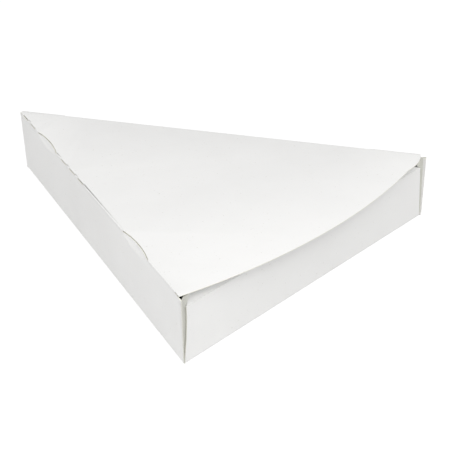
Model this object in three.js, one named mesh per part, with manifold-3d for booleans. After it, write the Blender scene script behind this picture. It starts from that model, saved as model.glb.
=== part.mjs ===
// Triangular carton for one slice of pizza, cut and folded from a single sheet of white paperboard.
// It lies closed on its base. The tip of the triangle points to -X and the crust end to +X.
// The origin is on the underside, halfway along the carton, on the line that halves the tip's angle.
//
// Three groups of panels move against each other, so each is a solid of its own:
//   tray        base, left wall, rear wall and the two corner tabs
//   lid         top panel with its rounded crust edge and the tuck flap inside the rear wall
//   front_flap  wall at the crust end with the tuck strip that leans in under the lid

import * as THREE from 'three';
import { mergeVertices } from 'three/addons/utils/BufferGeometryUtils.js';
import Module from 'manifold-3d';

const wasm = await Module();
wasm.setup();

// Overall sizes, in millimetres and degrees
const sideLength = 235;
const tipAngle = 45;
const boxHeight = 35;
const crustBulge = 13.5;
const board = 0.5;
const foldRadius = 0.8;
const tipRadius = 1.2;

// Clearances
const seam = 0.3;
const hingeSetback = 0.15;
const tabClearance = 0.3;

// Walls and the base's rim
const rimWidth = 3;
const rearWallDrop = 1;
const wallEndLean = 2;
const leftEndDrop = 0.7;
const rearEndDrop = 1.6;
const endDropLength = 5;

// Glued tab inside the tip
const glueTabStart = 5;
const glueTabLength = 16;
const glueTabMargin = 2;
const glueOverlap = 0.1;

// Corner tabs behind the front flap
const tabLength = 24;
const leftTabDrop = 1.6;
const rearTabDrop = 0.7;
const tabFoot = 1.2;
const tabNotch = 0.4;
const tabEndFoot = 4;
const tabEndDrop = 4;
const tabEarFoot = 0.9;
const tabEarRise = 0.5;
const tabEarSlope = 0.55;

// Crescent tongues that stand in the lid's perforated crease
const ventLength = 32;
const ventFromEnds = 36;
const ventDrop = 2.6;
const ventLean = 1.3;
const ventRise = 0.7;
const ventClearance = 0.4;
const ventEndClearance = 1;
const creaseBand = 0.4;

// Cuts of the perforated crease, between the tip and the middle of the hinged edge
const slitStart = 8.2;
const slitPitch = 13.4;
const slitLength = 9.4;
const slitDepth = 0.75;
const slitBridge = 1;

// Front flap
const flapCreaseDrop = 6.9;
const stripDepth = 8.5;
const stripRise = 5;
const stripEndSlope = 1.48;
const flapLeftGapFoot = 1.1;
const flapLeftGapTop = 4.1;
const flapRightGap = 1.9;
const flapGapStart = 2;

// Lid's tuck flap
const tuckDepth = 15;
const tuckLean = 13;
const tuckStart = 30;
const tuckEnd = 207;
const tuckTaper = 15;
const tuckTaperDepth = 2.5;
const tuckPanelOverlap = 4;

// Rounded far corner of the lid, from the crust's arc to the rear edge
const cornerAlongArc = 20;
const cornerAlongRear = 0.9;
const cornerReach = 5.3;
const cornerInset = 8.4;

// Smoothness of curves, in steps
const foldSteps = 3;
const tipSteps = 6;
const ventSteps = 12;
const crustSteps = 36;
const cornerSteps = 8;
const gapSteps = 9;

// Directions that follow from the tip's angle
const halfTip = THREE.MathUtils.degToRad(tipAngle / 2);
const cosTip = Math.cos(halfTip);
const sinTip = Math.sin(halfTip);
const frontX = sideLength * cosTip;
const halfCrust = sideLength * sinTip;
const boxLength = frontX + crustBulge;
const lidUnderside = boxHeight - board;
const leftWallTop = lidUnderside - seam;
const rearWallTop = boxHeight - rearWallDrop;
const flapCreaseHeight = lidUnderside - flapCreaseDrop;
const tabSetback = board + seam;

const LEFT = -1;
const REAR = 1;

// A point by a side wall: along its foot from the tip, inward from its outer face, and up.
function wallPoint(side, along, inward, up) {
  return new THREE.Vector3(
    along * cosTip + inward * sinTip,
    side * (along * sinTip - inward * cosTip),
    up,
  );
}

// A point by the crust end: across from the left or the right corner, behind the outer face, and up.
function frontPoint(side, across, behind, up) {
  return new THREE.Vector3(frontX - behind, side * (halfCrust - across), up);
}

function toSolid(geometry) {
  const bare = geometry.index ? geometry.toNonIndexed() : geometry.clone();
  bare.deleteAttribute('normal');
  bare.deleteAttribute('uv');
  const merged = mergeVertices(bare, 1e-5);
  return new wasm.Manifold(new wasm.Mesh({
    numProp: 3,
    vertProperties: Float32Array.from(merged.attributes.position.array),
    triVerts: Uint32Array.from(merged.index.array),
  }));
}

function toGeometry(solid) {
  const mesh = solid.getMesh();
  const geometry = new THREE.BufferGeometry();
  geometry.setAttribute('position', new THREE.BufferAttribute(Float32Array.from(mesh.vertProperties), 3));
  geometry.setIndex(Array.from(mesh.triVerts));
  return geometry;
}

// A flat panel: an outline seen from above, between two heights.
function panel(outline, low, high) {
  const shape = new THREE.Shape(outline.map((point) => new THREE.Vector2(point.x, point.y)));
  const geometry = new THREE.ExtrudeGeometry(shape, { depth: high - low, bevelEnabled: false });
  geometry.translate(0, 0, low);
  return toSolid(geometry);
}

// A bent piece of board between two grids of points, one for each of its faces.
function bentSheet(outer, inner) {
  const columns = outer.length;
  const rows = outer[0].length;
  const positions = [];
  for (const grid of [outer, inner]) {
    for (const column of grid) {
      for (const point of column) positions.push(point.x, point.y, point.z);
    }
  }
  const outerAt = (column, row) => column * rows + row;
  const innerAt = (column, row) => (columns + column) * rows + row;
  const index = [];
  const quad = (a, b, c, d) => index.push(a, b, c, a, c, d);
  for (let column = 0; column + 1 < columns; column += 1) {
    for (let row = 0; row + 1 < rows; row += 1) {
      quad(outerAt(column, row), outerAt(column + 1, row), outerAt(column + 1, row + 1), outerAt(column, row + 1));
      quad(innerAt(column, row), innerAt(column, row + 1), innerAt(column + 1, row + 1), innerAt(column + 1, row));
    }
    const top = rows - 1;
    quad(outerAt(column, 0), innerAt(column, 0), innerAt(column + 1, 0), outerAt(column + 1, 0));
    quad(outerAt(column, top), outerAt(column + 1, top), innerAt(column + 1, top), innerAt(column, top));
  }
  for (let row = 0; row + 1 < rows; row += 1) {
    const last = columns - 1;
    quad(outerAt(0, row), outerAt(0, row + 1), innerAt(0, row + 1), innerAt(0, row));
    quad(outerAt(last, row), innerAt(last, row), innerAt(last, row + 1), outerAt(last, row + 1));
  }
  if (signedVolume(positions, index) < 0) {
    for (let k = 0; k < index.length; k += 3) [index[k], index[k + 1]] = [index[k + 1], index[k]];
  }
  const geometry = new THREE.BufferGeometry();
  geometry.setAttribute('position', new THREE.Float32BufferAttribute(positions, 3));
  geometry.setIndex(index);
  return toSolid(geometry);
}

function signedVolume(positions, index) {
  const corner = (k) => new THREE.Vector3().fromArray(positions, 3 * index[k]);
  let volume = 0;
  for (let k = 0; k < index.length; k += 3) {
    volume += corner(k).dot(corner(k + 1).cross(corner(k + 2))) / 6;
  }
  return volume;
}

// Corner of a triangle with the tip's angle, rounded, from the left side's tangent point to the rear's.
function roundedTip(corner, radius) {
  const centre = new THREE.Vector2(corner.x + radius / sinTip, corner.y);
  const reach = Math.PI / 2 + halfTip;
  const points = [];
  for (let k = 0; k <= tipSteps; k += 1) {
    const angle = -reach - (2 * Math.PI - 2 * reach) * (k / tipSteps);
    points.push(new THREE.Vector2(centre.x + radius * Math.cos(angle), centre.y + radius * Math.sin(angle)));
  }
  return points;
}

// Height of a crescent along the perforated crease: 1 at its middle and 0 at its ends.
const ventCentres = [ventFromEnds + ventLength / 2, sideLength - ventFromEnds - ventLength / 2];
function crescent(along, length) {
  const nearest = Math.min(...ventCentres.map((centre) => Math.abs(along - centre)));
  return Math.max(0, 1 - (2 * nearest / length) ** 2);
}

function ventStations(length) {
  return ventCentres.flatMap((centre) => (
    Array.from({ length: ventSteps + 1 }, (_, k) => centre + length * (k / ventSteps - 0.5))
  ));
}

// Start and end of each cut along the perforated crease. None is made where a crescent lies.
function creaseSlits() {
  const slits = [];
  const reach = ventLength / 2 + ventEndClearance + slitBridge;
  for (let start = slitStart; start + slitLength < sideLength / 2; start += slitPitch) {
    const end = start + slitLength;
    if (ventCentres.every((centre) => end < centre - reach || start > centre + reach)) {
      slits.push([start, end]);
    }
  }
  return slits;
}

// Both faces of a side wall at one station, from the base's rim round the fold to the wall's top.
function wallSection(wallTop, tongue) {
  const outer = [[rimWidth, 0], [foldRadius, 0]];
  const inner = [[rimWidth, board], [foldRadius, board]];
  for (let k = 1; k <= foldSteps; k += 1) {
    const turn = (Math.PI / 2) * (k / foldSteps);
    const innerRadius = foldRadius - board;
    outer.push([foldRadius - foldRadius * Math.sin(turn), foldRadius - foldRadius * Math.cos(turn)]);
    inner.push([foldRadius - innerRadius * Math.sin(turn), foldRadius - innerRadius * Math.cos(turn)]);
  }
  const creaseHeight = wallTop - creaseBand - ventDrop * tongue;
  const lean = ventLean * tongue;
  const rise = wallTop + ventRise * tongue - creaseHeight;
  const slant = Math.atan2(lean, rise);
  outer.push([0, creaseHeight], [lean, creaseHeight + rise]);
  inner.push(
    [board, creaseHeight - board * Math.tan(slant / 2)],
    [lean + board * Math.cos(slant), creaseHeight + rise - board * Math.sin(slant)],
  );
  return { outer, inner };
}

// The crust end of a side wall leans forward with height.
function wallEnd(up) {
  return sideLength + wallEndLean * (up / boxHeight);
}

function sideWall(side, wallTop, endDrop, stations) {
  const outer = [];
  const inner = [];
  const addColumn = (section, along) => {
    outer.push(section.outer.map(([inward, up]) => wallPoint(side, along(up), inward, up)));
    inner.push(section.inner.map(([inward, up]) => wallPoint(side, along(up), inward, up)));
  };
  for (const station of stations) {
    addColumn(wallSection(wallTop, side === LEFT ? crescent(station, ventLength) : 0), () => station);
  }
  addColumn(wallSection(wallTop - endDrop, 0), wallEnd);
  return bentSheet(outer, inner);
}

// Gap between a corner and the front flap's raw edge, at one height.
function flapGap(side, up) {
  if (side === REAR) return flapRightGap;
  const reach = THREE.MathUtils.clamp((up - flapGapStart) / (flapCreaseHeight - flapGapStart), 0, 1);
  return flapLeftGapFoot + (flapLeftGapTop - flapLeftGapFoot) * Math.sin(reach * Math.PI / 2);
}

// A corner tab: from the wall's end it turns in behind the front flap and runs along it.
function cornerTab(side, rootTop) {
  const shoulder = flapCreaseHeight - board - tabClearance - seam;
  const notchAt = flapGap(side, flapCreaseHeight) + tabNotch;
  const columns = [
    { low: tabFoot, high: rootTop, place: 'root' },
    { low: tabFoot, high: rootTop, place: 'edge' },
    { low: tabFoot, high: rootTop, across: notchAt - seam },
    { low: tabFoot, high: shoulder, across: notchAt },
    { low: tabEndFoot, high: shoulder - tabEndDrop, across: tabLength },
  ];
  const outer = [];
  const inner = [];
  for (const { low, high, place, across } of columns) {
    const outerColumn = [];
    const innerColumn = [];
    for (let k = 0; k <= gapSteps; k += 1) {
      const up = low + (high - low) * (k / gapSteps);
      if (place === 'root') {
        outerColumn.push(wallPoint(side, wallEnd(up), 0, up));
        innerColumn.push(wallPoint(side, wallEnd(up) - 2 * board, board / 2, up));
      } else {
        const reach = place === 'edge' ? flapGap(side, up) - tabClearance : across;
        outerColumn.push(frontPoint(side, reach, tabSetback, up));
        innerColumn.push(frontPoint(side, reach, tabSetback + board, up));
      }
    }
    outer.push(outerColumn);
    inner.push(innerColumn);
  }

  // Above the strip the tab widens into an ear, which fills the opening beside the strip's cut end.
  const earLow = flapCreaseHeight + tabEarRise;
  const earRoot = notchAt - 2 * seam;
  const earFoot = flapGap(side, flapCreaseHeight) + tabEarFoot;
  const earReach = earFoot + tabEarSlope * (rootTop - earLow);
  const ear = (behind) => [
    [frontPoint(side, earRoot, behind, earLow), frontPoint(side, earRoot, behind, rootTop)],
    [frontPoint(side, earFoot, behind, earLow), frontPoint(side, earReach, behind, rootTop)],
  ];
  return bentSheet(outer, inner).add(bentSheet(ear(tabSetback), ear(tabSetback + board)));
}

function makeTray() {
  const backOfTip = -2 * foldRadius;
  const fanOut = 40;
  const beyond = 20;
  const leftStations = [backOfTip, ...ventStations(ventLength), sideLength - endDropLength];
  const rearStations = [backOfTip, sideLength - endDropLength];
  let tray = sideWall(LEFT, leftWallTop, leftEndDrop, leftStations);
  tray = tray.add(sideWall(REAR, rearWallTop, rearEndDrop, rearStations));

  // The walls meet in a rounded fold at the tip; nothing is trimmed further on.
  const tipTrim = [
    ...roundedTip(new THREE.Vector2(0, 0), tipRadius),
    wallPoint(REAR, fanOut, 0, 0),
    wallPoint(REAR, fanOut, -beyond, 0),
    wallPoint(REAR, sideLength + beyond, -beyond, 0),
    wallPoint(LEFT, sideLength + beyond, -beyond, 0),
    wallPoint(LEFT, fanOut, -beyond, 0),
    wallPoint(LEFT, fanOut, 0, 0),
  ];
  tray = tray.intersect(panel(tipTrim, -board, boxHeight + board));

  // The base reaches under both rims and ends behind the front flap's foot.
  const rimInset = (foldRadius + rimWidth) / 2;
  const baseFront = frontX - tabSetback;
  const baseTip = new THREE.Vector2(rimInset / sinTip, 0);
  const baseHalf = (baseFront - baseTip.x) * Math.tan(halfTip);
  const baseOutline = [
    baseTip,
    new THREE.Vector2(baseFront, -baseHalf),
    new THREE.Vector2(baseFront, baseHalf),
  ];
  tray = tray.add(panel(baseOutline, 0, board));

  // Room for the front flap's foot between the two wall ends.
  const footLow = -halfCrust + flapLeftGapFoot - seam;
  const footHigh = halfCrust - flapRightGap + seam;
  const footRoom = [
    new THREE.Vector2(baseFront, footLow),
    new THREE.Vector2(frontX + rimWidth, footLow),
    new THREE.Vector2(frontX + rimWidth, footHigh),
    new THREE.Vector2(baseFront, footHigh),
  ];
  tray = tray.subtract(panel(footRoom, -board, tabFoot - seam));

  tray = tray.add(cornerTab(LEFT, leftWallTop - leftTabDrop));
  tray = tray.add(cornerTab(REAR, rearWallTop - rearTabDrop));

  // The rear wall's tip tab, glued to the inside of the left wall.
  const glueTab = [
    wallPoint(LEFT, glueTabStart, board - glueOverlap, 0),
    wallPoint(LEFT, glueTabStart + glueTabLength, board - glueOverlap, 0),
    wallPoint(LEFT, glueTabStart + glueTabLength, 2 * board, 0),
    wallPoint(LEFT, glueTabStart, 2 * board, 0),
  ];
  return tray.add(panel(glueTab, glueTabMargin, leftWallTop - glueTabMargin));
}

function makeLid() {
  const rearEdge = board + seam;
  const foldedEdge = rearEdge + foldRadius;
  const crustRadius = (halfCrust ** 2 + crustBulge ** 2) / (2 * crustBulge);
  const crustCentre = boxLength - crustRadius;

  // Where a line at the given distance inside a side wall's outer face meets the crust's arc.
  const arcMeets = (inward) => {
    const centreAlong = crustCentre * cosTip;
    const centreInward = crustCentre * sinTip;
    return centreAlong + Math.sqrt(crustRadius ** 2 - (inward - centreInward) ** 2);
  };
  const crustAngle = (point) => Math.atan2(point.y, point.x - crustCentre);
  const nearCorner = wallPoint(LEFT, arcMeets(hingeSetback), hingeSetback, 0);
  const farAlong = arcMeets(rearEdge);
  const farCorner = wallPoint(REAR, farAlong, rearEdge, 0);
  const arcStart = crustAngle(nearCorner);
  const arcEnd = crustAngle(farCorner) - cornerAlongArc / crustRadius;

  // The tip of the lid, between its hinged edge and its rear edge.
  const tip = new THREE.Vector2(
    (hingeSetback + rearEdge) / (2 * sinTip),
    (hingeSetback - rearEdge) / (2 * cosTip),
  );
  const notchDepth = ventLean + board + ventClearance;
  const notchLength = ventLength + 2 * ventEndClearance;
  const hingedEdge = ventStations(notchLength).map((along) => (
    [along, hingeSetback + (notchDepth - hingeSetback) * crescent(along, notchLength)]
  ));
  for (const [start, end] of creaseSlits()) {
    hingedEdge.push([start, hingeSetback], [start + slitDepth, slitDepth]);
    hingedEdge.push([end - slitDepth, slitDepth], [end, hingeSetback]);
  }
  hingedEdge.sort((one, other) => one[0] - other[0]);
  const outline = roundedTip(tip, tipRadius).reverse();
  for (const [along, inward] of hingedEdge) outline.push(wallPoint(LEFT, along, inward, 0));
  for (let k = 0; k <= crustSteps; k += 1) {
    const angle = arcStart + (arcEnd - arcStart) * (k / crustSteps);
    outline.push(new THREE.Vector2(
      crustCentre + crustRadius * Math.cos(angle),
      crustRadius * Math.sin(angle),
    ));
  }
  const corner = new THREE.QuadraticBezierCurve(
    outline[outline.length - 1],
    new THREE.Vector2(frontX + cornerReach, halfCrust - cornerInset),
    wallPoint(REAR, farAlong - cornerAlongRear, rearEdge, 0),
  );
  outline.push(
    ...corner.getPoints(cornerSteps).slice(1),
    wallPoint(REAR, tuckEnd, rearEdge, 0),
    wallPoint(REAR, tuckEnd, foldedEdge, 0),
    wallPoint(REAR, tuckStart, foldedEdge, 0),
    wallPoint(REAR, tuckStart, rearEdge, 0),
  );
  const top = panel(outline, lidUnderside, boxHeight);

  // The tuck flap turns down over a rounded fold and leans in from the rear wall.
  const lean = THREE.MathUtils.degToRad(tuckLean);
  const faceAt = (radius, overlapHeight, depth) => {
    const face = [[foldedEdge + tuckPanelOverlap, overlapHeight]];
    const turns = 2 * foldSteps;
    for (let k = 0; k <= turns; k += 1) {
      const turn = (Math.PI / 2 + lean) * (k / turns);
      face.push([foldedEdge - radius * Math.sin(turn), boxHeight - foldRadius + radius * Math.cos(turn)]);
    }
    const [inward, up] = face[face.length - 1];
    face.push([inward + depth * Math.sin(lean), up - depth * Math.cos(lean)]);
    return face;
  };
  const stations = [
    [tuckStart, tuckTaperDepth],
    [tuckStart + tuckTaper, tuckDepth],
    [tuckEnd - tuckTaper, tuckDepth],
    [tuckEnd, tuckTaperDepth],
  ];
  const column = (radius, height) => stations.map(([along, depth]) => (
    faceAt(radius, height, depth).map(([inward, up]) => wallPoint(REAR, along, inward, up))
  ));
  const outer = column(foldRadius, boxHeight);
  const inner = column(foldRadius - board, lidUnderside);
  return top.add(bentSheet(outer, inner));
}

function makeFrontFlap() {
  const slant = Math.atan2(stripRise, stripDepth);
  const outerRows = [];
  const innerRows = [];
  for (let k = 0; k < gapSteps; k += 1) {
    const up = flapCreaseHeight * (k / gapSteps);
    outerRows.push([0, up, 0]);
    innerRows.push([board, up, 0]);
  }
  const creaseInner = flapCreaseHeight + board * Math.tan(slant) - board / Math.cos(slant);
  outerRows.push([0, flapCreaseHeight, 0]);
  innerRows.push([board, creaseInner, 0]);
  outerRows.push([stripDepth, flapCreaseHeight + stripRise, stripDepth * stripEndSlope]);
  innerRows.push([
    stripDepth + board * Math.sin(slant),
    flapCreaseHeight + stripRise - board * Math.cos(slant),
    stripDepth * stripEndSlope,
  ]);
  const grid = (rows) => [LEFT, REAR].map((side) => (
    rows.map(([behind, up, inset]) => frontPoint(side, flapGap(side, up) + inset, behind, up))
  ));
  return bentSheet(grid(outerRows), grid(innerRows));
}

const boardWhite = 0xefeeea;
function boardMaterial() {
  return new THREE.MeshStandardMaterial({ color: boardWhite, roughness: 0.75, metalness: 0 });
}

const carton = new THREE.Group();
for (const [name, solid] of [
  ['tray', makeTray()],
  ['lid', makeLid()],
  ['front_flap', makeFrontFlap()],
]) {
  const mesh = new THREE.Mesh(toGeometry(solid), boardMaterial());
  mesh.name = name;
  mesh.position.set(-boxLength / 2, 0, 0);
  carton.add(mesh);
}

export default carton;
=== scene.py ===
# Looks of a white paperboard carton for one slice of pizza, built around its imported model.
# Everything is in metres, in the frame of the model: the tip points to -X and +Z is up.

import math

import bmesh
import bpy
from mathutils import Matrix, Vector


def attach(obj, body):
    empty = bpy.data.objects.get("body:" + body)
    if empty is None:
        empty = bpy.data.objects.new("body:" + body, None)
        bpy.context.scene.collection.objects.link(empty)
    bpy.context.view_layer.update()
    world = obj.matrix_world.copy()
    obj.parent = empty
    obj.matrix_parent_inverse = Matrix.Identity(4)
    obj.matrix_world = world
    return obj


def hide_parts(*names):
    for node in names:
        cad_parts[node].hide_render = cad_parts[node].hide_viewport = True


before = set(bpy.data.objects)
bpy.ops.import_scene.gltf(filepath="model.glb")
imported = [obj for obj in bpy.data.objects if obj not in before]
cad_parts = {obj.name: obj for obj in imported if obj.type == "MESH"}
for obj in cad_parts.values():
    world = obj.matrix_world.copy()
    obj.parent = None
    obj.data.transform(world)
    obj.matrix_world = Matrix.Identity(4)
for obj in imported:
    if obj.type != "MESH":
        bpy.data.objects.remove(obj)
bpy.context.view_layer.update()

MM = 0.001

# Sizes of the carton, as in the model
SIDE_LENGTH = 235 * MM
TIP_ANGLE = 45
BOX_HEIGHT = 35 * MM
CRUST_BULGE = 13.5 * MM
BOARD = 0.5 * MM
FOLD_RADIUS = 0.8 * MM
TIP_RADIUS = 1.2 * MM
SEAM = 0.3 * MM
HINGE_SETBACK = 0.15 * MM
END_DROP_LENGTH = 5 * MM

VENT_LENGTH = 32 * MM
VENT_FROM_ENDS = 36 * MM
VENT_LEAN = 1.3 * MM
VENT_END_CLEARANCE = 1 * MM

SLIT_START = 8.2 * MM
SLIT_PITCH = 13.4 * MM
SLIT_LENGTH = 9.4 * MM
SLIT_BRIDGE = 1 * MM

TUCK_DEPTH = 15 * MM
TUCK_LEAN = 13
TUCK_START = 30 * MM
TUCK_END = 207 * MM
TUCK_TAPER = 15 * MM
TUCK_TAPER_DEPTH = 2.5 * MM
CORNER_ALONG_ARC = 20 * MM
CORNER_ALONG_REAR = 0.9 * MM
CORNER_REACH = 5.3 * MM
CORNER_INSET = 8.4 * MM
FLAP_CREASE_HEIGHT = 27.6 * MM

# Finer shape of the lid's edges. Cuts and notches are narrower here than in the model.
VENT_CLEARANCE = 0.2 * MM
SLIT_CORNER = 0.3 * MM
SLIT_DEPTHS = [0.52 * MM, 0.36 * MM, 0.36 * MM, 0.44 * MM, 0.54 * MM]
SLIT_RAMP = 0.9 * MM
CRUST_INSET = 0.01 * MM
TIP_STEPS = 8
VENT_STEPS = 24
CRUST_STEPS = 72
CORNER_STEPS = 16
SHARP_ANGLE = math.radians(50)

HALF_TIP = math.radians(TIP_ANGLE / 2)
COS_TIP = math.cos(HALF_TIP)
SIN_TIP = math.sin(HALF_TIP)
FRONT_X = SIDE_LENGTH * COS_TIP
HALF_CRUST = SIDE_LENGTH * SIN_TIP
BOX_LENGTH = FRONT_X + CRUST_BULGE
TIP_X = -BOX_LENGTH / 2
LID_UNDERSIDE = BOX_HEIGHT - BOARD
REAR_EDGE = BOARD + SEAM
FOLDED_EDGE = REAR_EDGE + FOLD_RADIUS

LEFT = -1
REAR = 1
OUT_OF_LEFT = Vector((-SIN_TIP, -COS_TIP, 0))
OUT_OF_REAR = Vector((-SIN_TIP, COS_TIP, 0))


def wall_point(side, along, inward, up):
    """A point by a side wall: along its foot from the tip, inward from its outer face, and up."""
    return Vector((
        TIP_X + along * COS_TIP + inward * SIN_TIP,
        side * (along * SIN_TIP - inward * COS_TIP),
        up,
    ))


# Sections of the lid's edge, from its top face round to its underside. Each has ten rows, given as
# millimetres inward from the edge and down from the top face.
CREASED_ROWS = [
    (0.75, 0.0), (0.45, 0.035), (0.22, 0.14), (0.07, 0.31), (0.015, 0.5),
    (0.0, 0.65), (0.0, 0.77), (0.3, 0.77), (0.45, 0.7), (0.6, 0.5),
]
CUT_ROWS = [
    (0.1, 0.0), (0.04, 0.02), (0.0, 0.07), (0.0, 0.15), (0.0, 0.22),
    (0.0, 0.3), (0.0, 0.38), (0.0, 0.44), (0.03, 0.48), (0.08, 0.5),
]


def creased_section(along):
    """The board bends over the left wall's top edge and closes the seam there."""
    return [
        wall_point(LEFT, along, inward * MM, BOX_HEIGHT - down * MM)
        for inward, down in CREASED_ROWS
    ]


def cut_section(point, inward):
    """A raw cut edge, with corners that are barely worn. inward is a level unit vector."""
    return [
        point + inward * (inset * MM) + Vector((0, 0, BOX_HEIGHT - down * MM))
        for inset, down in CUT_ROWS
    ]


def folded_section(along, depth):
    """The rear fold, and the tuck flap that leans in below it, depth deep."""
    lean = math.radians(TUCK_LEAN)
    quarter = math.pi / 2 + lean

    def on_fold(radius, share):
        turn = quarter * share
        return (
            FOLDED_EDGE - radius * math.sin(turn),
            BOX_HEIGHT - FOLD_RADIUS + radius * math.cos(turn),
        )

    def below(place):
        return (place[0] + depth * math.sin(lean), place[1] - depth * math.cos(lean))

    inner_radius = FOLD_RADIUS - BOARD
    rows = [on_fold(FOLD_RADIUS, share) for share in (0, 1 / 3, 2 / 3, 1)]
    rows.append(below(rows[-1]))
    rows.append(below(on_fold(inner_radius, 1)))
    rows += [on_fold(inner_radius, share) for share in (1, 2 / 3, 1 / 3, 0)]
    return [wall_point(REAR, along, inward, up) for inward, up in rows]


def vent_centres():
    """Middles of the two crescents, from the tip."""
    from_tip = VENT_FROM_ENDS + VENT_LENGTH / 2
    return [from_tip, SIDE_LENGTH - from_tip]


def crease_slits():
    """Start and end of each cut along the perforated crease."""
    slits = []
    reach = VENT_LENGTH / 2 + VENT_END_CLEARANCE + SLIT_BRIDGE
    start = SLIT_START
    while start + SLIT_LENGTH < SIDE_LENGTH / 2:
        end = start + SLIT_LENGTH
        if all(end < centre - reach or start > centre + reach for centre in vent_centres()):
            slits.append((start, end))
        start += SLIT_PITCH
    return slits


def left_cut(along, inward):
    """A raw edge section beside the left wall."""
    return cut_section(wall_point(LEFT, along, inward, 0), -OUT_OF_LEFT)


def slit_columns(start, end, depth):
    """One cut of the perforated crease."""
    return [
        creased_section(start),
        left_cut(start, SLIT_CORNER),
        left_cut(start + SLIT_RAMP, depth),
        left_cut(end - SLIT_RAMP, depth),
        left_cut(end, SLIT_CORNER),
        creased_section(end),
    ]


def vent_columns(centre):
    """The lid's notch behind a crescent tongue of the left wall."""
    length = VENT_LENGTH + 2 * VENT_END_CLEARANCE
    depth = VENT_LEAN + BOARD + VENT_CLEARANCE - HINGE_SETBACK
    ends = length / 2 * math.sqrt(1 - (SLIT_CORNER - HINGE_SETBACK) / depth)
    columns = [creased_section(centre - ends)]
    for k in range(VENT_STEPS + 1):
        offset = ends * (2 * k / VENT_STEPS - 1)
        inward = HINGE_SETBACK + depth * (1 - (2 * offset / length) ** 2)
        columns.append(left_cut(centre + offset, inward))
    columns.append(creased_section(centre + ends))
    return columns


def tip_columns():
    """The lid's rounded tip, from its rear edge to its hinged edge."""
    corner = Vector((
        TIP_X + (HINGE_SETBACK + REAR_EDGE) / (2 * SIN_TIP),
        (HINGE_SETBACK - REAR_EDGE) / (2 * COS_TIP),
        0,
    ))
    centre = corner + Vector((TIP_RADIUS / SIN_TIP, 0, 0))
    reach = math.pi / 2 + HALF_TIP
    columns = []
    for k in range(TIP_STEPS + 1):
        angle = reach + (2 * math.pi - 2 * reach) * (k / TIP_STEPS)
        outward = Vector((math.cos(angle), math.sin(angle), 0))
        columns.append(cut_section(centre + outward * TIP_RADIUS, -outward))
    return columns


def crust_columns(radius, centre, start, end):
    """The lid's raw edge over the crust, along an arc from one angle to another."""
    columns = []
    for k in range(CRUST_STEPS + 1):
        angle = start + (end - start) * (k / CRUST_STEPS)
        outward = Vector((math.cos(angle), math.sin(angle), 0))
        columns.append(cut_section(centre + outward * radius, -outward))
    return columns


def corner_columns(start, end):
    """The lid's rounded far corner, from the crust's arc to the rear edge."""
    control = Vector((TIP_X + FRONT_X + CORNER_REACH, HALF_CRUST - CORNER_INSET, 0))
    columns = []
    for k in range(1, CORNER_STEPS + 1):
        share = k / CORNER_STEPS
        point = start * (1 - share) ** 2 + control * (2 * share * (1 - share)) + end * share ** 2
        heading = (control - start) * (1 - share) + (end - control) * share
        inward = Vector((-heading.y, heading.x, 0)).normalized()
        columns.append(cut_section(point, inward))
    return columns


def lid_columns():
    """Every edge section of the lid, in order round it."""
    radius = (HALF_CRUST ** 2 + CRUST_BULGE ** 2) / (2 * CRUST_BULGE)
    centre = Vector((BOX_LENGTH / 2 - radius, 0, 0))
    from_tip = centre.x - TIP_X

    def arc_meets(inward):
        across = inward - from_tip * SIN_TIP
        return from_tip * COS_TIP + math.sqrt(radius ** 2 - across ** 2)

    def angle_of(point):
        return math.atan2(point.y, point.x - centre.x)

    columns = tip_columns()
    pieces = [
        (start, slit_columns(start, end, depth))
        for (start, end), depth in zip(crease_slits(), SLIT_DEPTHS, strict=True)
    ]
    pieces += [(middle, vent_columns(middle)) for middle in vent_centres()]
    columns.append(creased_section(2 * TIP_RADIUS / math.tan(HALF_TIP)))
    for _, piece in sorted(pieces, key=lambda item: item[0]):
        columns += piece
    columns.append(creased_section(SIDE_LENGTH - END_DROP_LENGTH))
    columns.append(left_cut(SIDE_LENGTH - END_DROP_LENGTH + SLIT_RAMP, HINGE_SETBACK))

    near_corner = wall_point(LEFT, arc_meets(HINGE_SETBACK), HINGE_SETBACK, 0)
    far_along = arc_meets(REAR_EDGE)
    far_corner = wall_point(REAR, far_along, REAR_EDGE, 0)
    arc_end = angle_of(far_corner) - CORNER_ALONG_ARC / radius
    columns += crust_columns(radius - CRUST_INSET, centre, angle_of(near_corner), arc_end)
    arc_point = centre + Vector((math.cos(arc_end), math.sin(arc_end), 0)) * radius
    rear_point = wall_point(REAR, far_along - CORNER_ALONG_REAR, REAR_EDGE, 0)
    columns += corner_columns(arc_point, rear_point)

    def rear_cut(along):
        return cut_section(wall_point(REAR, along, REAR_EDGE, 0), -OUT_OF_REAR)

    columns.append(rear_cut(TUCK_END))
    for along, depth in (
        (TUCK_END, TUCK_TAPER_DEPTH),
        (TUCK_END - TUCK_TAPER, TUCK_DEPTH),
        (TUCK_START + TUCK_TAPER, TUCK_DEPTH),
        (TUCK_START, TUCK_TAPER_DEPTH),
    ):
        columns.append(folded_section(along, depth))
    columns.append(rear_cut(TUCK_START))
    return columns


def make_lid():
    """Lid panel and tuck flap as one closed piece, with rounded creases and raw cut edges."""
    columns = lid_columns()
    mesh = bmesh.new()
    grid = [[mesh.verts.new(point) for point in column] for column in columns]
    top = mesh.faces.new([column[0] for column in grid])
    bottom = mesh.faces.new([column[-1] for column in reversed(grid)])
    for k, column in enumerate(grid):
        following = grid[(k + 1) % len(grid)]
        for row in range(len(column) - 1):
            side = mesh.faces.new((
                column[row], column[row + 1], following[row + 1], following[row],
            ))
            side.smooth = True
    for edge in [*top.edges, *bottom.edges]:
        edge.smooth = False
    bmesh.ops.triangulate(mesh, faces=[top, bottom])
    bmesh.ops.recalc_face_normals(mesh, faces=mesh.faces)
    data = bpy.data.meshes.new("lid_panel")
    mesh.to_mesh(data)
    mesh.free()
    data.set_sharp_from_angle(angle=SHARP_ANGLE)
    piece = bpy.data.objects.new("lid_panel", data)
    bpy.context.scene.collection.objects.link(piece)
    return piece


# Materials

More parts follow.
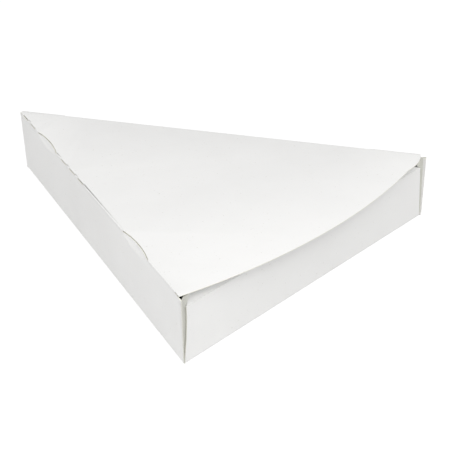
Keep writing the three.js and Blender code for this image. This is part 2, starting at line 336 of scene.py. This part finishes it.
class Graph:
    """Short names for the nodes that the board's material is made of."""

    def __init__(self, name):
        self.material = bpy.data.materials.new(name)
        self.material.use_nodes = True
        self.nodes = self.material.node_tree.nodes
        self.links = self.material.node_tree.links
        self.shader = self.nodes["Principled BSDF"]

    def add(self, kind, inputs=(), **settings):
        node = self.nodes.new(kind)
        for name, value in settings.items():
            setattr(node, name, value)
        for name, value in dict(inputs).items():
            self.set(node.inputs[name], value)
        return node

    def set(self, socket, value):
        if isinstance(value, bpy.types.NodeSocket):
            self.links.new(value, socket)
        else:
            socket.default_value = value

    def math(self, operation, *values, clamp=False):
        node = self.nodes.new("ShaderNodeMath")
        node.operation = operation
        node.use_clamp = clamp
        for socket, value in zip(node.inputs, values):
            self.set(socket, value)
        return node.outputs[0]

    def along(self, vector, direction):
        node = self.nodes.new("ShaderNodeVectorMath")
        node.operation = "DOT_PRODUCT"
        self.set(node.inputs[0], vector)
        node.inputs[1].default_value = direction
        return node.outputs["Value"]

    def above(self, value, limit):
        return self.math("GREATER_THAN", value, limit)

    def either(self, *masks):
        joined = masks[0]
        for mask in masks[1:]:
            joined = self.math("MAXIMUM", joined, mask)
        return joined

    def both(self, first, second):
        return self.math("MULTIPLY", first, second)

    def ramp(self, value, start, end, low=0.0, high=1.0):
        names = {"Value": value, "From Min": start, "From Max": end, "To Min": low, "To Max": high}
        return self.add("ShaderNodeMapRange", names).outputs["Result"]

    def noise(self, place, scale, detail=4.0, roughness=0.55):
        inputs = {"Vector": place, "Scale": scale, "Detail": detail, "Roughness": roughness}
        return self.add("ShaderNodeTexNoise", inputs).outputs["Fac"]

    def mix(self, share, first, second):
        node = self.nodes.new("ShaderNodeMix")
        node.data_type = "RGBA"
        for name, value in (("Factor_Float", share), ("A_Color", first), ("B_Color", second)):
            socket = next(s for s in node.inputs if s.identifier == name)
            self.set(socket, value)
        return next(s for s in node.outputs if s.identifier == "Result_Color")


COATED = (0.865, 0.862, 0.852, 1)
UNCOATED = (0.80, 0.795, 0.775, 1)
RAW_EDGE = (0.84, 0.83, 0.74, 1)
# Painted shade: colour of the corner tabs where they lie in shade in the gap between the walls
TAB_PAINTED_SHADE = (0.60, 0.60, 0.545, 1)
SPECK = (0.60, 0.58, 0.54, 1)
SCUFF = (0.74, 0.735, 0.72, 1)

# Noise patterns of the board: scale in object space, octaves of detail, and roughness if it has one
FIBRES = (520.0, 6.0, 0.62)
GRAIN = (2600.0, 3.0)
CLOUDS = (48.0, 3.0)
WAVES = (9.0, 1.0)
SPECKS = (900.0, 1.0)
FIBRE_STRETCH = (1.0, 2.6, 1.0)

# The noise level where a pattern starts to show, and where it shows in full
WIDE_SPREAD = (0.3, 0.7)
MIDDLE_SPREAD = (0.35, 0.65)
SPECK_SPREAD = (0.745, 0.775)
RUB_SPREAD = (0.42, 0.62)

# How far each pattern shows in the colour
FIBRE_SHOW = 0.10
CLOUD_SHOW = 0.09
SPECK_SHOW = 0.5
RUB_SHOW = 0.55
LAYER_SHOW = 0.35
INSIDE_FIBRES = 1.15

# Roughness of coated and of uncoated or rubbed board, from its smoothest to its coarsest
COATED_ROUGHNESS = (0.52, 0.60)
MATT_ROUGHNESS = (0.74, 0.86)
BOARD_IOR = 1.46
BOARD_SPECULAR = 0.4

# Relief of the board: how strongly each pattern bends the light, and how deep it is
WAVE_RELIEF = (0.6, 0.9 * MM)
CLOUD_RELIEF = (0.35, 0.10 * MM)
FIBRE_RELIEF = (0.5, 0.035 * MM)
GRAIN_RELIEF = (0.35, 0.02 * MM)


def board_material(name, masks):
    """White coated board. masks(graph, normal, place) gives its coated side, its raw edges, its
    worn folds and its painted shade, where faces are darkened to stand for shade."""
    graph = Graph(name)
    place = graph.add("ShaderNodeTexCoord").outputs["Object"]
    geometry = graph.add("ShaderNodeNewGeometry")
    turned = graph.add("ShaderNodeVectorTransform", {"Vector": geometry.outputs["True Normal"]},
                       vector_type="NORMAL", convert_from="WORLD", convert_to="OBJECT")
    normal = turned.outputs["Vector"]
    printed, raw, worn, painted_shade = masks(graph, normal, place)

    stretched = graph.add("ShaderNodeMapping", {"Vector": place, "Scale": FIBRE_STRETCH})
    fibres = graph.noise(stretched.outputs["Vector"], *FIBRES)
    grain = graph.noise(place, *GRAIN)
    clouds = graph.noise(place, *CLOUDS)
    broad = graph.noise(place, *WAVES)
    scattered = graph.noise(place, *SPECKS)

    face = graph.mix(printed, UNCOATED, COATED)
    # Painted shade: the corner tabs are darkened near their corners, where shade falls in the gap
    face = graph.mix(painted_shade, face, TAB_PAINTED_SHADE)
    fibre_show = graph.ramp(fibres, *WIDE_SPREAD, 0.0, FIBRE_SHOW)
    uncoated = graph.math("SUBTRACT", INSIDE_FIBRES, printed)
    face = graph.mix(graph.both(fibre_show, uncoated), face, SCUFF)
    cloud_show = graph.ramp(clouds, *MIDDLE_SPREAD, 0.0, CLOUD_SHOW)
    face = graph.mix(cloud_show, face, SCUFF)
    speck = graph.ramp(scattered, *SPECK_SPREAD, 0.0, SPECK_SHOW)
    face = graph.mix(speck, face, SPECK)
    rubbed = graph.both(worn, graph.ramp(fibres, *RUB_SPREAD, 0.0, RUB_SHOW))
    face = graph.mix(rubbed, face, SCUFF)
    layered = graph.mix(graph.ramp(grain, *MIDDLE_SPREAD, 0.0, LAYER_SHOW), RAW_EDGE, UNCOATED)
    graph.set(graph.shader.inputs["Base Color"], graph.mix(raw, face, layered))

    gloss = graph.ramp(clouds, *WIDE_SPREAD, *COATED_ROUGHNESS)
    matt = graph.ramp(fibres, *WIDE_SPREAD, *MATT_ROUGHNESS)
    coarse = graph.either(graph.math("SUBTRACT", 1.0, printed), raw, worn)
    blended = graph.add("ShaderNodeMix", data_type="FLOAT")
    graph.set(blended.inputs[0], coarse)
    graph.set(blended.inputs[2], gloss)
    graph.set(blended.inputs[3], matt)
    graph.set(graph.shader.inputs["Roughness"], blended.outputs[0])
    graph.shader.inputs["IOR"].default_value = BOARD_IOR
    graph.shader.inputs["Specular IOR Level"].default_value = BOARD_SPECULAR

    relief = {}
    for height, (strength, distance) in (
        (broad, WAVE_RELIEF), (clouds, CLOUD_RELIEF), (fibres, FIBRE_RELIEF), (grain, GRAIN_RELIEF),
    ):
        inputs = {"Height": height, "Strength": strength, "Distance": distance, **relief}
        relief = {"Normal": graph.add("ShaderNodeBump", inputs).outputs["Normal"]}
    graph.set(graph.shader.inputs["Normal"], relief["Normal"])
    return graph.material


# Where the board is worn: beside folds, at the left wall's rim and over the front flap's
# crease. Painted shade darkens the corner tabs near their corners, in the gap between the walls
WORN_WIDTH = 1.1 * MM
RIM_WEAR_START = 1.6 * MM
RIM_WEAR_FULL = 0.8 * MM
BEND_WEAR_BELOW = 0.7 * MM
BEND_WEAR_FADES = 0.2 * MM
BEND_WEAR_ENDS = 0.6 * MM
# Painted shade on the corner tabs is full within 5 mm of the corner and gone beyond 12 mm
PAINTED_SHADE_FULL = 5 * MM
PAINTED_SHADE_GONE = 12 * MM
WALL_TOP_LOW = 10 * MM

# How squarely a face must look in a direction to count as facing it
FACING = 0.9
SQUARE = 0.97
FORWARD = 0.6
LEVEL = 0.5
SLOPED = 0.7
UPWARD = 0.3
SIDEWAYS = 0.2
DOWNWARD = -0.2

# How near the left wall's plane the lid's crease begins, on the scale of near_plane
CREASE_BEGINS = 0.45


def near_plane(graph, place, outward, offset):
    """1 on the plane at offset along outward, falling to 0 at the worn width inside it."""
    depth = graph.math("SUBTRACT", offset, graph.along(place, outward))
    return graph.ramp(depth, 0.0, WORN_WIDTH, 1.0, 0.0)


def wall_offset(outward):
    """Distance of a side wall's outer face from the origin, along its outward direction."""
    return outward.x * TIP_X


def tray_masks(graph, normal, place):
    height = graph.along(place, (0, 0, 1))
    up = graph.along(normal, (0, 0, 1))
    on_left = graph.above(graph.along(normal, OUT_OF_LEFT), FACING)
    on_rear = graph.above(graph.along(normal, OUT_OF_REAR), FACING)
    tabs = graph.above(graph.along(normal, (1, 0, 0)), FORWARD)
    below = graph.math("LESS_THAN", up, DOWNWARD)
    printed = graph.either(on_left, on_rear, tabs, below)
    level_face = graph.above(graph.math("ABSOLUTE", up), LEVEL)
    raw = graph.both(level_face, graph.above(height, WALL_TOP_LOW))
    foot = graph.ramp(height, 0.0, WORN_WIDTH, 1.0, 0.0)
    rim = graph.ramp(height, BOX_HEIGHT - RIM_WEAR_START, BOX_HEIGHT - RIM_WEAR_FULL)
    ends = near_plane(graph, place, Vector((1, 0, 0)), FRONT_X + TIP_X)
    folds = graph.either(foot, graph.both(rim, on_left), ends)
    worn = graph.both(folds, graph.either(on_left, on_rear))
    across = graph.math("ABSOLUTE", graph.along(place, (0, 1, 0)))
    # Painted shade on the corner tabs near their corners, in the gap between the walls
    painted_shade = graph.both(tabs, graph.ramp(across, HALF_CRUST - PAINTED_SHADE_GONE, HALF_CRUST - PAINTED_SHADE_FULL))
    return printed, raw, worn, painted_shade


def lid_masks(graph, normal, place):
    height = graph.along(place, (0, 0, 1))
    up = graph.along(normal, (0, 0, 1))
    top = graph.both(graph.above(up, UPWARD), graph.above(height, LID_UNDERSIDE))
    left_edge = near_plane(graph, place, OUT_OF_LEFT, wall_offset(OUT_OF_LEFT))
    on_left = graph.both(graph.above(graph.along(normal, OUT_OF_LEFT), LEVEL), left_edge)
    on_rear = graph.above(graph.along(normal, OUT_OF_REAR), FACING)
    crease = graph.above(left_edge, CREASE_BEGINS)
    printed = graph.either(top, on_left, on_rear)
    steep = graph.math("LESS_THAN", graph.math("ABSOLUTE", up), LEVEL)
    thickness = graph.above(height, LID_UNDERSIDE)
    folded = graph.either(crease, on_rear)
    raw = graph.both(graph.both(steep, thickness), graph.math("SUBTRACT", 1.0, folded))
    rear_edge = near_plane(graph, place, OUT_OF_REAR, wall_offset(OUT_OF_REAR) - REAR_EDGE)
    worn = graph.both(graph.either(left_edge, rear_edge), printed)
    return printed, raw, worn, 0.0


def flap_masks(graph, normal, place):
    height = graph.along(place, (0, 0, 1))
    ahead = graph.above(graph.along(normal, (1, 0, 0)), FACING)
    over = graph.above(graph.along(normal, (0, 0, 1)), SLOPED)
    printed = graph.either(ahead, over)
    raw = graph.math("SUBTRACT", 1.0, graph.either(
        printed,
        graph.above(graph.along(normal, (-1, 0, 0)), SQUARE),
        graph.above(graph.along(normal, (0, 0, -1)), SQUARE),
    ))
    across = graph.math("ABSOLUTE", graph.along(normal, (0, 1, 0)))
    raw = graph.both(raw, graph.above(across, SIDEWAYS))
    foot = graph.ramp(height, 0.0, WORN_WIDTH, 1.0, 0.0)
    bend = graph.ramp(height, FLAP_CREASE_HEIGHT - BEND_WEAR_BELOW, FLAP_CREASE_HEIGHT)
    fade = FLAP_CREASE_HEIGHT + BEND_WEAR_FADES
    top = graph.ramp(height, fade, FLAP_CREASE_HEIGHT + BEND_WEAR_ENDS, 1.0, 0.0)
    worn = graph.both(graph.either(foot, graph.both(bend, top)), printed)
    return printed, raw, worn, 0.0


# Stage, light and camera

FLOOR_HALF = 3.0
FLOOR_DROP = 0.1 * MM
WORLD_LEVEL = 0.655
FLOOR_WHITE = 0.93
FLOOR_SHARE = 0.14
FLOOR_GREY = 0.60

# Each lamp's name, place, target, size and power
LAMPS = [
    ("near_side_softbox", (0.15, -1.2, 0.50), (0.02, -0.03, 0.02), 0.6, 4.2),
    ("crust_side_softbox", (0.70, -0.15, 1.00), (0.05, 0, 0.02), 0.6, 2.0),
    ("front_softbox", (0.94, -0.42, 0.72), (0.1, 0, 0.02), 0.5, 4.3),
]


def make_floor():
    data = bpy.data.meshes.new("floor")
    corners = [
        (x * FLOOR_HALF, y * FLOOR_HALF, -FLOOR_DROP)
        for x, y in ((-1, -1), (1, -1), (1, 1), (-1, 1))
    ]
    data.from_pydata(corners, [], [(0, 1, 2, 3)])
    floor = bpy.data.objects.new("floor", data)
    bpy.context.scene.collection.objects.link(floor)

    graph = Graph("floor_white")
    graph.nodes.remove(graph.shader)
    plain = graph.add("ShaderNodeBsdfDiffuse", {"Color": (*[FLOOR_GREY] * 3, 1)})
    shadow = graph.add("ShaderNodeBsdfDiffuse", {"Color": (*[FLOOR_SHARE] * 3, 1)})
    glow = graph.add("ShaderNodeEmission", {"Color": (1, 1, 1, 1), "Strength": FLOOR_WHITE})
    seen = graph.add("ShaderNodeAddShader")
    graph.links.new(shadow.outputs[0], seen.inputs[0])
    graph.links.new(glow.outputs[0], seen.inputs[1])
    mixed = graph.add("ShaderNodeMixShader", {"Fac": seen_directly(graph)})
    graph.links.new(plain.outputs[0], mixed.inputs[1])
    graph.links.new(seen.outputs[0], mixed.inputs[2])
    graph.links.new(mixed.outputs[0], graph.nodes["Material Output"].inputs["Surface"])
    data.materials.append(graph.material)


def seen_directly(graph):
    """1 for rays from the camera, and for those that metal and glass would show."""
    path = graph.add("ShaderNodeLightPath").outputs
    return graph.either(path["Is Camera Ray"], path["Is Glossy Ray"], path["Is Transmission Ray"])


def make_world():
    world = bpy.data.worlds.new("studio")
    world.use_nodes = True
    bpy.context.scene.world = world
    nodes = world.node_tree.nodes
    links = world.node_tree.links
    path = nodes.new("ShaderNodeLightPath")
    camera_or_gloss = nodes.new("ShaderNodeMath")
    camera_or_gloss.operation = "MAXIMUM"
    links.new(path.outputs["Is Camera Ray"], camera_or_gloss.inputs[0])
    links.new(path.outputs["Is Glossy Ray"], camera_or_gloss.inputs[1])
    shown = nodes.new("ShaderNodeMath")
    shown.operation = "MAXIMUM"
    links.new(camera_or_gloss.outputs[0], shown.inputs[0])
    links.new(path.outputs["Is Transmission Ray"], shown.inputs[1])
    level_of_light = nodes.new("ShaderNodeMapRange")
    links.new(shown.outputs[0], level_of_light.inputs["Value"])
    level_of_light.inputs["To Min"].default_value = WORLD_LEVEL
    level_of_light.inputs["To Max"].default_value = 1.0
    background = nodes["Background"]
    background.inputs["Color"].default_value = (1, 1, 1, 1)
    links.new(level_of_light.outputs["Result"], background.inputs["Strength"])


def area_lamp(name, place, target, size, power):
    data = bpy.data.lights.new(name, "AREA")
    data.shape = "SQUARE"
    data.size = size
    data.energy = power
    lamp = bpy.data.objects.new(name, data)
    lamp.location = place
    lamp.rotation_euler = (Vector(target) - Vector(place)).to_track_quat("-Z", "Y").to_euler()
    bpy.context.scene.collection.objects.link(lamp)


# The camera, fitted to the corners of the carton in the photograph
CAMERA_PLACE = Vector((0.44686, -0.41626, 0.32150))
CAMERA_DOWN = 28.09
CAMERA_HEADING = 134.028
CAMERA_ROLL = -2.917
FOCAL_PIXELS = 1295.07
IMAGE_PIXELS = 450
SENSOR_WIDTH = 36.0
NEAREST_SEEN = 0.01
FARTHEST_SEEN = 20.0


def make_camera():
    down = math.radians(CAMERA_DOWN)
    heading = math.radians(CAMERA_HEADING)
    roll = math.radians(CAMERA_ROLL)
    forward = Vector((
        math.cos(down) * math.cos(heading),
        math.cos(down) * math.sin(heading),
        -math.sin(down),
    ))
    level_right = Vector((math.sin(heading), -math.cos(heading), 0))
    level_up = level_right.cross(forward)
    right = level_right * math.cos(roll) + level_up * math.sin(roll)
    up = level_up * math.cos(roll) - level_right * math.sin(roll)

    data = bpy.data.cameras.new("camera")
    data.sensor_width = SENSOR_WIDTH
    data.lens = FOCAL_PIXELS * SENSOR_WIDTH / IMAGE_PIXELS
    data.clip_start = NEAREST_SEEN
    data.clip_end = FARTHEST_SEEN
    camera = bpy.data.objects.new("camera", data)
    turn = Matrix((right, up, -forward)).transposed().to_4x4()
    camera.matrix_world = Matrix.Translation(CAMERA_PLACE) @ turn
    bpy.context.scene.collection.objects.link(camera)
    bpy.context.scene.camera = camera


make_camera()
make_world()
for lamp in LAMPS:
    area_lamp(*lamp)
make_floor()

lid = make_lid()
lid.data.materials.append(board_material("lid_board", lid_masks))
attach(lid, "lid")
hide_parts("lid")

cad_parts["tray"].material_slots[0].material = board_material("tray_board", tray_masks)
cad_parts["front_flap"].material_slots[0].material = board_material("flap_board", flap_masks)

bpy.context.scene.view_settings.view_transform = "Standard"
